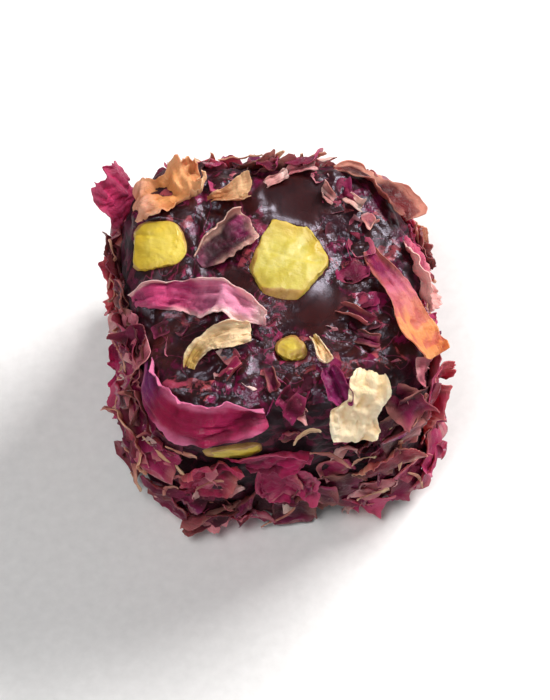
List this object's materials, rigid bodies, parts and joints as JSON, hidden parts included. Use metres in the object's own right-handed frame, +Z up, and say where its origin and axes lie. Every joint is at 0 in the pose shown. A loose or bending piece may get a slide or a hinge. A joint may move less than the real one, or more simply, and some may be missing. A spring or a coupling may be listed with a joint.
{
  "type": "turkish delight cube",
  "caption": "Rounded cube of dark jelly sweet rolled in dried rose petals, with cut pistachio kernels showing in its faces.",
  "frame": {"origin": "middle of the flat base that the piece stands on", "axes": "+Z up; +Y to the back of the cut top face, +X to the right, with -Y the side nearest the viewer"},
  "size_m": [0.0349, 0.0335, 0.0305],
  "materials": {
    "jelly": "glossy dark red jelly, slightly see-through, with pressed-in petal crumbs",
    "kernel": "satin yellow-green nut, paler at the cut",
    "petal": "dry, crinkled magenta petal, thin and slightly see-through",
    "pale_petal": "dry cream petal base",
    "calyx": "dry orange-brown crinkled calyx"
  },
  "bodies": {
    "root": {"jelly": "jelly", "kernel_top": "kernel", "kernel_left": "kernel", "kernel_chip": "kernel", "kernel_front": "kernel", "kernel_right": "kernel", "kernel_back": "kernel", "kernel_wall": "kernel", "kernel_base": "kernel", "kernel_under": "kernel", "petal_wavy": "petal", "petal_swirl": "petal", "petal_dusk": "petal", "petal_draped": "petal", "petal_front": "petal", "petal_tip": "petal", "petal_rim_right": "petal", "petal_rim_back": "petal", "petal_corner": "petal", "petal_front_1": "petal", "petal_front_2": "petal", "petal_front_3": "petal", "petal_right_1": "petal", "petal_right_2": "petal", "petal_right_3": "petal", "petal_back_1": "petal", "petal_back_2": "petal", "petal_back_3": "petal", "petal_left_1": "petal", "petal_left_2": "petal", "petal_left_3": "petal", "claw_point": "pale_petal", "claw_crescent": "pale_petal", "claw_sliver": "pale_petal", "claw_flake": "pale_petal", "calyx_scrap": "calyx"}
  },
  "joints": []
}
